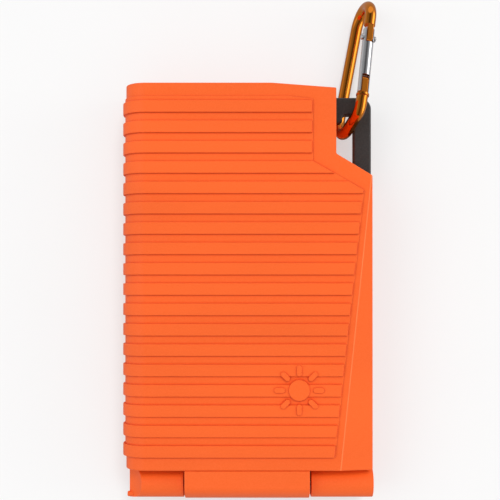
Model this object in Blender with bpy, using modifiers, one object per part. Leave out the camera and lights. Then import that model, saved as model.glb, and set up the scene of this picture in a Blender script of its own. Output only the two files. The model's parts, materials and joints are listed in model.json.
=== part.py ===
"""Folding solar phone charger: a battery base, a hinged lid, a panel inside each, and a carabiner.

Lengths are millimetres until mesh_object() turns them into metres. +X is the port side, +Y points
from the hinge to the carabiner and +Z out of the lid. z = 0 is the plane the rear ribs rest on.
"""

import math

import bmesh
import bpy
from mathutils import Matrix, Vector

MM = 0.001

# Outline shared by both halves, anticlockwise from the hinge end's left corner.
LEFT = -53.0
OUTLINE = [
    (LEFT, -76.0),
    (51.9, -76.0),
    (51.5, 48.2),
    (36.3, 57.4),
    (36.3, 85.1),
    (9.2, 87.15),
    (LEFT, 87.15),
]
FIELD = [(15.5, 81.5), (26.0, 80.2), (26.0, 54.2), (47.5, 42.0), (35.3, -69.7)]
SIDE_RADIUS = 9.0
WALL = 2.4
LID_TOP = 33.0
LID_LOW = 20.8
BASE_TOP = 20.2
BASE_LOW = 0.9
FIT = 0.3
TRAY_WALL = 1.5
TRAY_TOP = 14.5

# Facet that slopes the lid's face down to its right edge.
FACET = [(50.8, 45.8, LID_TOP), (38.2, -75.2, LID_TOP), (51.9, -76.0, 30.5)]

RIB_COUNT = 18
RIB_FIRST_Y = 77.03
RIB_PITCH = 8.518
RIB_WIDTH = 5.04
LID_RIB_HEIGHT = 1.35
BASE_RIB_HEIGHT = 0.9
RIB_CHAMFER = 0.35
ICON_HEIGHT = 2.0
RIB_ROOT = 0.7
ARC_STEPS = 5

# Hinge.
AXIS_Y = -82.9
AXIS_Z = 20.5
BARREL = 6.5
KNUCKLES_BASE = [(-52.1, -28.5), (26.2, 52.8)]
KNUCKLE_LID = (-27.6, 25.2)
PIN_R = 1.5
SLEEVE_R = 2.2
RUN = 0.05

# Frames that hold the panels.
FRAME_INSET = WALL + FIT
POCKET_INSET = 9.5
PANEL_INSET = 9.8
WINDOW_INSET = 12.5
CASE_SCREWS = [(-40.5, 79.6), (29.0, 78.0), (-40.5, -68.8), (44.7, -68.8)]
LID_SCREWS = [(-46.8, 80.6, 31.0), (29.8, 78.6, 31.2), (-46.8, -69.6, 31.0), (45.8, -69.6, 30.4)]
MAGNETS = [(-25.0, 80.9), (4.0, 80.9)]

# Ports, button and lights on the +X side.
BOARD = ((30.5, -58.0, 6.0), (46.5, 45.0, 7.6))
USB_A_Y = [-32.0, -12.0]
USB_C_Y = 3.5
BUTTON_Y = 22.0
BUTTON_Z = 10.5
LIGHT_Y = [33.5, 36.5, 39.5, 42.5]
FLAP_X = (50.1, 51.7)
FLAP_Y = (-43.4, 10.6)
FLAP_Z = (6.0, 15.5)

# Carabiner: its plane passes through SPINE, with S along the spine and W towards the gate.
SPINE = Vector((42.56, 87.8, 2.5))
S_AXIS = Vector((0.1857, 0.9826, 0.0)).normalized()
LEAN = math.radians(14.07)
H_AXIS = Vector((S_AXIS.y, -S_AXIS.x, 0.0))
W_AXIS = H_AXIS * math.sin(LEAN) + Vector((0, 0, math.cos(LEAN)))
N_AXIS = S_AXIS.cross(W_AXIS)
ROD = 2.5
GATE_R = 2.45
PIVOT = (22.5, 18.65)
NOSE = (-3.3, 25.3)
SWING = (-9.2, 12.0)

PARTS = bpy.data.collections.new("solar_phone_charger")
CUTTERS = bpy.data.collections.new("solar_phone_charger_cutters")


def clear_scene():
    for item in list(bpy.data.objects):
        bpy.data.objects.remove(item, do_unlink=True)
    for collection in (PARTS, CUTTERS):
        bpy.context.scene.collection.children.link(collection)


def mesh_object(name, bm, cutter=False):
    bmesh.ops.recalc_face_normals(bm, faces=bm.faces[:])
    bmesh.ops.scale(bm, vec=(MM, MM, MM), verts=bm.verts[:])
    mesh = bpy.data.meshes.new(name)
    bm.to_mesh(mesh)
    bm.free()
    obj = bpy.data.objects.new(name, mesh)
    (CUTTERS if cutter else PARTS).objects.link(obj)
    if cutter:
        obj.hide_render = True
        obj.display_type = "WIRE"
    return obj


def inset(points, distance):
    """The anticlockwise polygon with each side moved inwards."""
    moved = []
    for i in range(len(points)):
        before = Vector(points[i - 1])
        here = Vector(points[i])
        after = Vector(points[(i + 1) % len(points)])
        first = (here - before).normalized()
        second = (after - here).normalized()
        normals = Vector((-first.y - second.y, first.x + second.x))
        moved.append(tuple(here + normals * (distance / (1 + first.dot(second)))))
    return moved


def arc(centre, radius, start, end, steps):
    points = []
    for k in range(steps + 1):
        angle = math.radians(start + (end - start) * k / steps)
        points.append((centre[0] + radius * math.cos(angle), centre[1] + radius * math.sin(angle)))
    return points


def add_prism(bm, points, axis, low, high):
    """Adds a polygon's prism. Its two coordinates fill the axes other than axis, in X, Y, Z order."""
    rings = []
    for h in (low, high):
        place = {"X": lambda a, b: (h, a, b), "Y": lambda a, b: (a, h, b), "Z": lambda a, b: (a, b, h)}
        rings.append([bm.verts.new(place[axis](a, b)) for a, b in points])
    bm.faces.new(rings[0])
    bm.faces.new(rings[1])
    for i in range(len(points)):
        j = (i + 1) % len(points)
        bm.faces.new((rings[0][i], rings[0][j], rings[1][j], rings[1][i]))


def prism(name, points, axis, low, high, cutter=False):
    bm = bmesh.new()
    add_prism(bm, points, axis, low, high)
    return mesh_object(name, bm, cutter)


def add_box(bm, low, high):
    corners = [(low[0], low[1]), (high[0], low[1]), (high[0], high[1]), (low[0], high[1])]
    add_prism(bm, corners, "Z", low[2], high[2])


def box(name, low, high, cutter=False):
    bm = bmesh.new()
    add_box(bm, low, high)
    return mesh_object(name, bm, cutter)


def add_sweep(bm, rings):
    """Skins rings of points and closes both ends."""
    made = [[bm.verts.new(p) for p in ring] for ring in rings]
    sides = len(made[0])
    for lower, upper in zip(made, made[1:]):
        for i in range(sides):
            j = (i + 1) % sides
            bm.faces.new((lower[i], lower[j], upper[j], upper[i]))
    bm.faces.new(made[0])
    bm.faces.new(made[-1])


def add_tube(bm, path, radius, sides=12):
    """A round rod along 3-D points; radius is one number or one for each point."""
    points = [Vector(p) for p in path]
    radii = radius if isinstance(radius, list) else [radius] * len(points)
    tangents = []
    for i in range(len(points)):
        before = points[max(i - 1, 0)]
        after = points[min(i + 1, len(points) - 1)]
        tangents.append((after - before).normalized())
    side = tangents[0].orthogonal().normalized()
    rings = []
    for point, tangent, size in zip(points, tangents, radii):
        side = (side - tangent * side.dot(tangent)).normalized()
        up = tangent.cross(side)
        turns = [2 * math.pi * k / sides for k in range(sides)]
        rings.append([point + side * (size * math.cos(t)) + up * (size * math.sin(t)) for t in turns])
    add_sweep(bm, rings)


def tube(name, path, radius, sides=12, cutter=False):
    bm = bmesh.new()
    add_tube(bm, path, radius, sides)
    return mesh_object(name, bm, cutter)


def boolean(target, other, operation):
    modifier = target.modifiers.new(operation.lower(), "BOOLEAN")
    modifier.operation = operation
    # The covers' ribs share the arc of the edge that they wrap, which EXACT leaves with open edges.
    modifier.solver = "MANIFOLD" if target.name in ("front_cover", "rear_cover") else "EXACT"
    modifier.object = other


def cut(target, cutter):
    boolean(target, cutter, "DIFFERENCE")


def join(target, other):
    boolean(target, other, "UNION")


def bevel(target, width, segments=2, angle=40):
    modifier = target.modifiers.new("edges", "BEVEL")
    modifier.width = width * MM
    modifier.segments = segments
    modifier.limit_method = "ANGLE"
    modifier.angle_limit = math.radians(angle)


def pill(centre, length, width, steps=6):
    """A slot shape that is long in its first coordinate."""
    reach = (length - width) / 2
    right = arc((centre[0] + reach, centre[1]), width / 2, -90, 90, steps)
    left = arc((centre[0] - reach, centre[1]), width / 2, 90, 270, steps)
    return right + left


def section(shift, face_z, open_z, sense):
    """A half's X-Z outline, moved inwards: round at the long left edge."""
    centre = (LEFT + SIDE_RADIUS, face_z - sense * SIDE_RADIUS)
    points = [(LEFT + shift, open_z), (70.0, open_z), (70.0, face_z - sense * shift)]
    round_edge = arc((0, 0), SIDE_RADIUS - shift, 90, 180, ARC_STEPS)
    return points + [(centre[0] + a, centre[1] + sense * b) for a, b in round_edge]


def half_blank(name, shift, face_z, open_z, sense, facet=False, cutter=False):
    """A half's solid shape, moved inwards on its sides and face."""
    bm = bmesh.new()
    add_prism(bm, section(shift, face_z, open_z, sense), "Y", -120, 120)
    if facet:
        a, b, c = [Vector(p) for p in FACET]
        normal = (b - a).cross(c - a).normalized()
        normal = normal if normal.z > 0 else -normal
        everything = bm.verts[:] + bm.edges[:] + bm.faces[:]
        bmesh.ops.bisect_plane(
            bm, geom=everything, plane_co=a - normal * shift, plane_no=normal, clear_outer=True
        )
        bmesh.ops.holes_fill(bm, edges=[e for e in bm.edges if e.is_boundary], sides=0)
    blank = mesh_object(name, bm, cutter)
    limits = prism(name + "_outline", inset(OUTLINE, shift), "Z", -30, 60, cutter=True)
    boolean(blank, limits, "INTERSECT")
    return blank


def field_end(y):
    """Where the ribbed field ends on the right, at this height up the face."""
    for (x1, y1), (x2, y2) in zip(FIELD, FIELD[1:]):
        if y >= y2:
            return x1 + (x2 - x1) * (y1 - min(y, y1)) / (y1 - y2)
    return FIELD[-1][0]


def add_rib(bm, middle, height, face_z, side_z, sense):
    """One raised band with sloping flanks, from the half's rim round its long edge to the field's end."""
    half = RIB_WIDTH / 2
    top = half - RIB_CHAMFER
    profile = [(-half, -RIB_ROOT), (-top, height), (top, height), (half, -RIB_ROOT)]
    centre_x = LEFT + SIDE_RADIUS
    centre_z = face_z - sense * SIDE_RADIUS
    stations = [(LEFT, side_z, -1, 0)]
    for k in range(ARC_STEPS + 1):
        angle = math.pi * (1 - 0.5 * k / ARC_STEPS)
        nx, nz = math.cos(angle), sense * math.sin(angle)
        stations.append((centre_x + SIDE_RADIUS * nx, centre_z + SIDE_RADIUS * nz, nx, nz))
    rings = []
    for x, z, nx, nz in stations:
        rings.append([(x + nx * h, middle + t, z + nz * h) for t, h in profile])
    ends = [field_end(middle + t) - (RIB_CHAMFER if h > 0 else 0) for t, h in profile]
    rings.append([(x, middle + t, face_z + sense * h) for x, (t, h) in zip(ends, profile)])
    add_sweep(bm, rings)


def ribs(name, height, face_z, side_z, sense):
    bm = bmesh.new()
    for i in range(RIB_COUNT):
        add_rib(bm, RIB_FIRST_Y - RIB_PITCH * i, height, face_z, side_z, sense)
    bmesh.ops.triangulate(bm, faces=bm.faces[:])
    return mesh_object(name, bm, cutter=True)


def sun_icon(centre, base_z, top_z):
    bm = bmesh.new()
    add_prism(bm, arc(centre, 4.4, 0, 345, 23), "Z", base_z, top_z)
    for k in range(8):
        turn = Matrix.Rotation(math.radians(45 * k), 2)
        ray = [turn @ Vector(p) for p in pill((8.2, 0), 4.6, 2.2, 4)]
        add_prism(bm, [(centre[0] + p.x, centre[1] + p.y) for p in ray], "Z", base_z, top_z)
    return mesh_object("sun_icon", bm, cutter=True)


def boss(name, x, y, low, high, radius):
    return prism(name, arc((x, y), radius, 0, 345, 23), "Z", low, high, cutter=True)


def drill(target, name, x, y, low, high, radius):
    cut(target, boss(name, x, y, low, high, radius))


def along_x(name, low, high, radius, y=AXIS_Y, z=AXIS_Z, cutter=True, sides=32):
    points = arc((y, z), radius, 0, 360 - 360 / sides, sides - 1)
    return prism(name, points, "X", low, high, cutter)


def lid_knuckle():
    """The lid's knuckle: flush with the face, then round the hinge axis."""
    points = [(-74.8, LID_LOW + 0.2), (-76.4, LID_LOW + 0.2)]
    points += arc((AXIS_Y, AXIS_Z), BARREL, 0, -180, 14)
    for k in range(1, 9):
        angle = math.radians(90 * k / 8)
        points.append((AXIS_Y - BARREL * math.cos(angle), AXIS_Z + 12.5 * math.sin(angle)))
    points += [(-76.25, LID_TOP), (-75.95, 32.5), (-74.8, 32.5)]
    return prism("lid_knuckle", points, "X", *KNUCKLE_LID, cutter=True)


def base_knuckle(name, low, high):
    """A base knuckle: from the rear face up and round the hinge axis."""
    points = [(-74.8, BASE_TOP - 0.2), (-74.8, BASE_LOW + 0.2), (-85.9, BASE_LOW + 0.2)]
    points += arc((-85.9, 4.6), 3.5, -90, -180, 5)[1:]
    points += arc((AXIS_Y, AXIS_Z), BARREL, 180, 0, 14)
    points += [(-76.4, BASE_TOP - 0.2)]
    return prism(name, points, "X", low, high, cutter=True)


def round_left_end(knuckle):
    """Rounds the left knuckle's outer end down to its side, which leaves a mitred crest."""
    left = KNUCKLES_BASE[0][0]
    radius = BARREL + 0.2
    limits = arc((left + radius, AXIS_Z - 0.1), radius, 90, 180, 14)
    limits += [(left, -5.0), (0.0, -5.0), (0.0, 28.0), (left + radius, 28.0)]
    boolean(knuckle, prism("left_end_limits", limits, "Y", -120, 0, cutter=True), "INTERSECT")
    lip = along_x("left_end_lip", left - 0.85, left + 1.9, 1.15, AXIS_Y - 5.2, AXIS_Z + 0.1, sides=20)
    join(knuckle, lip)


def front_cover():
    cover = half_blank("front_cover", 0.0, LID_TOP, LID_LOW, 1, facet=True)
    bevel(cover, 0.8)
    join(cover, lid_knuckle())
    join(cover, ribs("lid_ribs", LID_RIB_HEIGHT, LID_TOP, LID_LOW + 0.5, 1))
    join(cover, sun_icon((20.6, -42.0), LID_TOP - 0.5, LID_TOP + ICON_HEIGHT))
    cut(cover, half_blank("lid_cavity", WALL, LID_TOP, 10.0, 1, facet=True, cutter=True))
    for i, (x, y, top) in enumerate(LID_SCREWS):
        join(cover, boss(f"lid_boss_{i}", x, y, 26.3, top, 2.4))
        drill(cover, f"lid_boss_bore_{i}", x, y, 26.0, 28.3, 1.2)
    cut(cover, along_x("lid_pin_bore", -40, -9.4, PIN_R + RUN))
    cut(cover, along_x("lid_sleeve_bore", 9.4, 40, SLEEVE_R + RUN))
    cut(cover, tube("lid_lead_way", [(12, AXIS_Y, AXIS_Z), (0, AXIS_Y, AXIS_Z)], 1.3, cutter=True))
    way = [(0, AXIS_Y - 0.6, AXIS_Z - 0.6), (0, -76.0, 27.6), (0, -71.5, 28.3)]
    cut(cover, tube("lid_lead_rise", way, 1.25, cutter=True))
    return cover


def rear_cover():
    cover = half_blank("rear_cover", 0.0, BASE_LOW, BASE_TOP, -1)
    bevel(cover, 0.8)
    knuckles = [base_knuckle(f"base_knuckle_{i}", *ends) for i, ends in enumerate(KNUCKLES_BASE)]
    round_left_end(knuckles[0])
    for knuckle in knuckles:
        join(cover, knuckle)
    join(cover, ribs("base_ribs", BASE_RIB_HEIGHT, BASE_LOW, BASE_TOP - 0.5, -1))
    cut(cover, half_blank("base_cavity", WALL, BASE_LOW, 30.0, -1, cutter=True))
    for i, (x, y) in enumerate(CASE_SCREWS):
        drill(cover, f"rear_recess_{i}", x, y, -1, 2.0, 2.8)
        drill(cover, f"rear_hole_{i}", x, y, -1, 6, 1.4)
    cut(cover, box("bar_notch", (33.0, 72.7, 10.2), (37.0, 84.5, 16.8), cutter=True))
    cut(cover, box("bar_notch_top", (33.0, 74.3, 13.2), (37.0, 82.9, 25), cutter=True))
    notch = [(45.0, 44.0), (48.9, 44.0), (48.9, 54.0), (45.0, 54.0)]
    cut(cover, prism("leg_notch", notch, "Z", 10.2, 25, cutter=True))
    window = [(FLAP_Y[0] - 1.2, FLAP_Z[0] - 0.4), (FLAP_Y[1] + 0.4, FLAP_Z[0] - 0.4)]
    window += [(FLAP_Y[1] + 0.4, FLAP_Z[1] + 0.4), (FLAP_Y[0] - 1.2, FLAP_Z[1] + 0.4)]
    cut(cover, prism("port_window", window, "X", 48, 56, cutter=True))
    cut(cover, prism("button_hole", pill((BUTTON_Y, BUTTON_Z), 9.8, 5.8), "X", 48, 56, cutter=True))
    for i, y in enumerate(LIGHT_Y):
        cut(cover, along_x(f"light_hole_{i}", 48, 56, 1.2, y, 10.0, sides=16))
    cut(cover, along_x("base_pin_bore", -49.6, -20, PIN_R + RUN))
    cut(cover, along_x("base_sleeve_bore", 20, 34.6, SLEEVE_R + RUN))
    cut(cover, tube("base_lead_way", [(30, AXIS_Y, AXIS_Z), (38, AXIS_Y, AXIS_Z)], 1.3, cutter=True))
    way = [(37, AXIS_Y - 0.5, AXIS_Z + 0.7), (37, -77.5, 11.9), (37, -75.3, 10.7), (37, -71, 10.5)]
    cut(cover, tube("base_lead_fall", way, 1.25, cutter=True))
    return cover


def lug_outline():
    """The carabiner's loop, seen from the front: a bar across the corner and a leg beside it."""
    points = [(33.0, 73.0), (39.6, 73.0), (40.5, 74.0), (40.5, 75.6), (41.5, 76.6), (43.6, 76.6)]
    points += [(45.3, 74.9), (45.3, 46.0), (48.6, 46.0), (48.6, 50.4), (51.6, 48.8), (53.0, 49.6)]
    points += arc((48.0, 79.2), 5.0, 0, 90, 6)
    return points + [(33.0, 84.2)]


def battery_tray():
    tray = half_blank("battery_tray", FRAME_INSET, BASE_LOW - 0.2, TRAY_TOP, -1)
    hollow = half_blank("tray_cavity", FRAME_INSET + TRAY_WALL, BASE_LOW - 0.2, 30.0, -1, cutter=True)
    cut(tray, hollow)
    lug = prism("tray_lug", lug_outline(), "Z", 10.5, 16.5, cutter=True)
    bevel(lug, 1.1, 2, 50)
    join(tray, lug)
    join(tray, box("bar_root", (33.95, 74.6, 13.0), (36.1, 82.6, 19.9), cutter=True))
    root = [(45.4, 49.45), (48.4, 47.6), (48.4, 49.9), (45.4, 51.7)]
    join(tray, prism("leg_root", root, "Z", 13.0, 19.9, cutter=True))
    for i, y in enumerate((-50.0, -5.0, 35.0)):
        join(tray, box(f"board_rest_{i}", (31.5, y, 4.5), (45.5, y + 4, 5.75), cutter=True))
    for i, y in enumerate(USB_A_Y):
        way = ((45.5, y - 6.9, 7.6), (60, y + 6.9, 14.0))
        cut(tray, box(f"tray_port_{i}", *way, cutter=True))
    cut(tray, box("tray_port_c", (45.5, USB_C_Y - 4.8, 7.6), (60, USB_C_Y + 4.8, 11.5), cutter=True))
    cut(tray, box("tray_button", (45.5, 15.4, 6.0), (60, 28.6, TRAY_TOP + 2), cutter=True))
    cut(tray, box("tray_lights", (45.5, 31.8, 8.1), (60, 44.2, 11.9), cutter=True))
    for i, (x, y) in enumerate(CASE_SCREWS):
        drill(tray, f"tray_hole_{i}", x, y, 2, 6, 1.4)
    cut(tray, tube("tray_lead_hole", [(37, -76, 10.5), (37, -70, 10.5)], 1.25, cutter=True))
    return tray


def frame(name, low, high, pocket_low, pocket_high):
    """A bezel that a panel sits in, with an open window behind the panel."""
    ring = prism(name, inset(OUTLINE, FRAME_INSET), "Z", low, high)
    bevel(ring, 0.5, 1)
    pocket = prism(name + "_pocket", inset(OUTLINE, POCKET_INSET), "Z", pocket_low, pocket_high, True)
    window = prism(name + "_window", inset(OUTLINE, WINDOW_INSET), "Z", low - 5, high + 5, True)
    cut(ring, pocket)
    cut(ring, window)
    return ring


def base_frame():
    ring = frame("base_panel_frame", 14.8, 20.05, 17.4, 25)
    cut(ring, box("bar_relief", (32.6, 72.6, 10), (36.0, 84.6, 16.9), cutter=True))
    cut(ring, box("leg_relief", (44.9, 44.0, 10), (49.0, 50.0, 16.9), cutter=True))
    for i, (x, y) in enumerate(CASE_SCREWS):
        join(ring, boss(f"case_boss_{i}", x, y, 5.2, 15.5, 2.6))
        drill(ring, f"case_bore_{i}", x, y, 4, 13.5, 1.4)
    for i, (x, y) in enumerate(MAGNETS):
        drill(ring, f"base_magnet_seat_{i}", x, y, 10, 18.6, 3.3)
    return ring


def lid_frame():
    ring = frame("lid_panel_frame", 20.95, 25.2, 15, 23.5)
    for i, (x, y, _) in enumerate(LID_SCREWS):
        drill(ring, f"lid_recess_{i}", x, y, 18, 22.7, 2.1)
        drill(ring, f"lid_hole_{i}", x, y, 18, 30, 1.2)
    for i, (x, y) in enumerate(MAGNETS):
        drill(ring, f"lid_magnet_seat_{i}", x, y, 22.4, 30, 3.3)
    return ring


def disc(name, x, y, low, high, radius):
    return prism(name, arc((x, y), radius, 0, 345, 23), "Z", low, high)


def screw(name, x, y, head_z, head_top, tip_z, head_r, shank_r):
    """A pan-head screw whose axis is vertical; head_z is its free face."""
    down = 1 if tip_z > head_z else -1
    rings = [(head_z, head_r - 0.4), (head_z + down * 0.4, head_r), (head_top, head_r)]
    rings += [(head_top, shank_r), (tip_z - down * 0.8, shank_r), (tip_z, shank_r * 0.4)]
    bm = bmesh.new()
    made = []
    for z, r in rings:
        made.append([(a, b, z) for a, b in arc((x, y), r, 0, 330, 11)])
    add_sweep(bm, made)
    obj = mesh_object(name, bm)
    low, high = head_z - down, head_z + down * 0.5
    for i, (across, along) in enumerate(((1.2, 0.3), (0.3, 1.2))):
        corners = (x - across, y - along, low), (x + across, y + along, high)
        cut(obj, box(f"{name}_slot_{i}", *corners, cutter=True))


def screws():
    for i, (x, y) in enumerate(CASE_SCREWS):
        screw(f"case_screw_{i + 1}", x, y, 0.6, 1.7, 12.5, 2.4, 1.05)
    for i, (x, y, _) in enumerate(LID_SCREWS):
        screw(f"lid_screw_{i + 1}", x, y, 21.2, 22.4, 27.9, 1.8, 0.9)


def magnets():
    for i, (x, y) in enumerate(MAGNETS):
        disc(f"base_magnet_{i + 1}", x, y, 16.2, 18.3, 3.0)
        disc(f"lid_magnet_{i + 1}", x, y, 22.7, 24.8, 3.0)


def panel(name, low, high):
    obj = prism(name, inset(OUTLINE, PANEL_INSET), "Z", low, high)
    bevel(obj, 0.3, 1)
    return obj


def battery():
    for name, low, high in (("battery_cell_left", -43.0, -9.6), ("battery_cell_right", -8.9, 24.5)):
        bevel(box(name, (low, -60, 5.2), (high, 62, 12.3)), 1.6, 3)
    box("battery_pad", (-42, -58, 12.7), (23.5, 60, 14.4))
    wires = [(24.9, 50, 8.9), (27.5, 50, 8.9), (29.5, 48, 8.7), (31.5, 44, 8.5), (36, 41.5, 8.4)]
    tube("battery_lead", wires, 0.7, 10)


def board():
    obj = box("control_board", *BOARD)
    for i, (low, high) in enumerate((((31.2, -27, 7), (35.0, -16, 9.4)), ((33, 8, 7), (40, 15, 10.2)))):
        join(obj, box(f"board_part_{i}", low, high, cutter=True))
    return obj


def usb_a(name, y):
    shell = box(name, (35.6, y - 6.6, 7.9), (49.0, y + 6.6, 13.7))
    cut(shell, box(name + "_mouth", (37.0, y - 6.1, 8.4), (52, y + 6.1, 13.2), cutter=True))
    join(shell, box(name + "_tongue", (36.5, y - 5.6, 11.0), (48.2, y + 5.6, 12.8), cutter=True))
    return shell


def usb_c():
    low, high = 42.0, 49.0
    shell = prism("usb_c_port", pill((USB_C_Y, 9.6), 9.0, 3.3), "X", low, high)
    cut(shell, prism("usb_c_mouth", pill((USB_C_Y, 9.6), 8.3, 2.6), "X", low + 1, high + 4, cutter=True))
    join(shell, box("usb_c_tongue", (low + 0.5, USB_C_Y - 3.3, 9.25), (high - 1, USB_C_Y + 3.3, 9.95), True))
    return shell


def switch_and_lights():
    cap = prism("power_button", pill((BUTTON_Y, BUTTON_Z), 9.0, 5.0), "X", 48.8, 52.0)
    bevel(cap, 0.4, 2)
    join(cap, prism("button_flange", pill((BUTTON_Y, BUTTON_Z), 12.0, 8.0), "X", 48.3, 49.0, cutter=True))
    join(cap, along_x("button_stem", 46.9, 48.5, 1.0, BUTTON_Y, BUTTON_Z, sides=16))
    body = box("power_switch", (42.6, 19.2, 7.9), (45.2, 24.8, 13.1))
    cut(body, along_x("switch_bore", 43.9, 47, 1.3, BUTTON_Y, BUTTON_Z, sides=16))
    along_x("switch_plunger", 44.8, 46.6, 0.9, BUTTON_Y, BUTTON_Z, cutter=False, sides=16)
    lens = box("indicator_lens", (48.1, 32.2, 8.5), (49.0, 43.8, 11.5))
    for i, y in enumerate(LIGHT_Y):
        join(lens, along_x(f"light_stud_{i}", 48.5, 51.75, 0.9, y, 10.0, sides=16))
    return cap, lens


def port_flap():
    """A soft cover that swings out about its short end nearest the hinge."""
    x = sum(FLAP_X) / 2
    half = (FLAP_X[1] - FLAP_X[0]) / 2
    points = arc((x, FLAP_Y[0]), half, 180, 360, 8)
    points += [(FLAP_X[1], FLAP_Y[1] - 3.0), (FLAP_X[1] + 0.5, FLAP_Y[1] - 2.4)]
    points += [(FLAP_X[1] + 0.5, FLAP_Y[1] - 0.4), (FLAP_X[1] + 0.1, FLAP_Y[1]), (FLAP_X[0], FLAP_Y[1])]
    return prism("port_flap", points, "Z", *FLAP_Z)


def hinge_parts():
    along_x("hinge_pin", -49.0, -10.0, PIN_R, cutter=False)
    sleeve = along_x("hinge_sleeve", 10.0, 34.0, SLEEVE_R, cutter=False)
    cut(sleeve, along_x("sleeve_bore", 0, 50, 1.2, sides=24))
    lid_lead = [(8.6, AXIS_Y, AXIS_Z), (1.2, AXIS_Y, AXIS_Z), (0.3, AXIS_Y + 0.3, AXIS_Z + 0.3)]
    lid_lead += [(0, -81.5, 21.9), (0, -76.6, 26.9), (0, -75.4, 27.7), (0, -73.8, 28.0), (0, -66, 28.2)]
    tube("panel_lead_lid", lid_lead, 0.7, 10)
    base_lead = [(9.0, AXIS_Y, AXIS_Z), (36.1, AXIS_Y, AXIS_Z), (36.8, AXIS_Y + 0.3, AXIS_Z - 0.5)]
    base_lead += [(37, -82.2, 19.4), (37, -77.8, 12.4), (37, -76.6, 11.2), (37, -74.8, 10.6)]
    base_lead += [(37, -71, 10.4), (37, -60, 9.4), (37, -55, 8.5)]
    tube("panel_lead_base", base_lead, 0.7, 10)


def in_plane(s, w, n=0.0):
    """A point of the carabiner's plane, n off it."""
    return SPINE + S_AXIS * s + W_AXIS * w + N_AXIS * n


def rod_line():
    """The carabiner's centre line, from its nose round the wide end, the spine and the narrow end."""
    slope = math.atan2(NOSE[1] - PIVOT[1], PIVOT[0] - NOSE[0])
    corner_r = 6.0
    line = [(-4.0, 25.35)]
    line += arc((-7.2, 19.6), corner_r, 75, 135, 4)
    line += arc((-9.2, 9.5), 9.5, 135, 270, 10)
    line += arc((30.2, 8.3), 8.3, 270, 450 - math.degrees(slope), 12)
    line += [(28.4, 17.1)]
    return line


def in_plane_box(name, start, end, half_w, half_n, rounded=0):
    """A flat bar of the carabiner's plane along start to end."""
    a, b = Vector(start), Vector(end)
    along = (b - a).normalized()
    across = Vector((-along.y, along.x))
    outline = [a + across * half_w, a - across * half_w]
    if rounded:
        base = math.degrees(math.atan2(along.y, along.x))
        outline += [Vector(p) for p in arc(b, half_w, base - 90, base + 90, rounded)]
    else:
        outline += [b - across * half_w, b + across * half_w]
    bm = bmesh.new()
    rings = [[in_plane(p.x, p.y, n) for p in outline] for n in (-half_n, half_n)]
    add_sweep(bm, rings)
    return mesh_object(name, bm, cutter=True)


def gate_point(distance):
    """A point on the gate's axis, this far from the pivot towards the nose."""
    pivot, nose = Vector(PIVOT), Vector(NOSE)
    return pivot + (nose - pivot).normalized() * distance


def spring_coil():
    """The gate spring's centre line: turns round the gate's axis."""
    turns, steps, radius = 6, 8, 0.75
    way = gate_point(1) - gate_point(0)
    across = W_AXIS * -way.x + S_AXIS * way.y
    coil = []
    for k in range(turns * steps + 1):
        angle = 2 * math.pi * k / steps
        centre = in_plane(*gate_point(5.2 + 7.2 * k / (turns * steps)))
        coil.append(centre + (N_AXIS * math.cos(angle) + across * math.sin(angle)) * radius)
    return coil


def carabiner():
    line = rod_line()
    body = tube("carabiner_body", [in_plane(s, w) for s, w in line], ROD, 16)
    collar = [in_plane(*gate_point(d)) for d in (26.3, 27.6)]
    join(body, tube("nose_collar", collar, 2.8, 16, cutter=True))
    join(body, in_plane_box("nose_tongue", gate_point(28.5), gate_point(20.4), 1.9, 1.4, 6))
    join(body, in_plane_box("pivot_tongue", gate_point(-6.8), gate_point(0), 2.2, 1.3, 8))
    rivet_way = [in_plane(*PIVOT, n) for n in (-6, 6)]
    cut(body, tube("body_rivet_bore", rivet_way, 0.95, 24, cutter=True))
    barrel = [in_plane(*gate_point(d)) for d in (-4.6, -3.9, 25.6, 25.9)]
    gate = tube("carabiner_gate", barrel, [2.0, GATE_R, GATE_R, 2.2], 24)
    cut(gate, in_plane_box("pivot_slot", gate_point(-8), gate_point(2.7), 5, 1.6))
    cut(gate, in_plane_box("nose_slot", gate_point(30), gate_point(18.1), 5, 1.7))
    cut(gate, tube("gate_rivet_bore", rivet_way, 0.98, 24, cutter=True))
    spring_way = [in_plane(*gate_point(d)) for d in (1.0, 13.0)]
    cut(gate, tube("gate_spring_bore", spring_way, 1.3, 16, cutter=True))
    head = [-3.45, -3.05, -2.6, -2.55, 2.55, 2.6, 3.05, 3.45]
    radii = [0.9, 1.35, 1.35, 0.9, 0.9, 1.35, 1.35, 0.9]
    tube("carabiner_rivet", [in_plane(*PIVOT, n) for n in head], radii, 24)
    tube("gate_plunger", [in_plane(*gate_point(d)) for d in (2.6, 2.9, 4.6)], [0.6, 1.0, 1.0], 16)
    tube("gate_spring", spring_coil(), 0.2, 5)


def paint(name, colour, roughness, metallic, nodes):
    material = bpy.data.materials.new(name)
    material.use_nodes = True
    shader = material.node_tree.nodes["Principled BSDF"]
    shader.inputs["Base Color"].default_value = (*colour, 1.0)
    shader.inputs["Roughness"].default_value = roughness
    shader.inputs["Metallic"].default_value = metallic
    for node in nodes:
        bpy.data.objects[node].data.materials.append(material)


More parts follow.
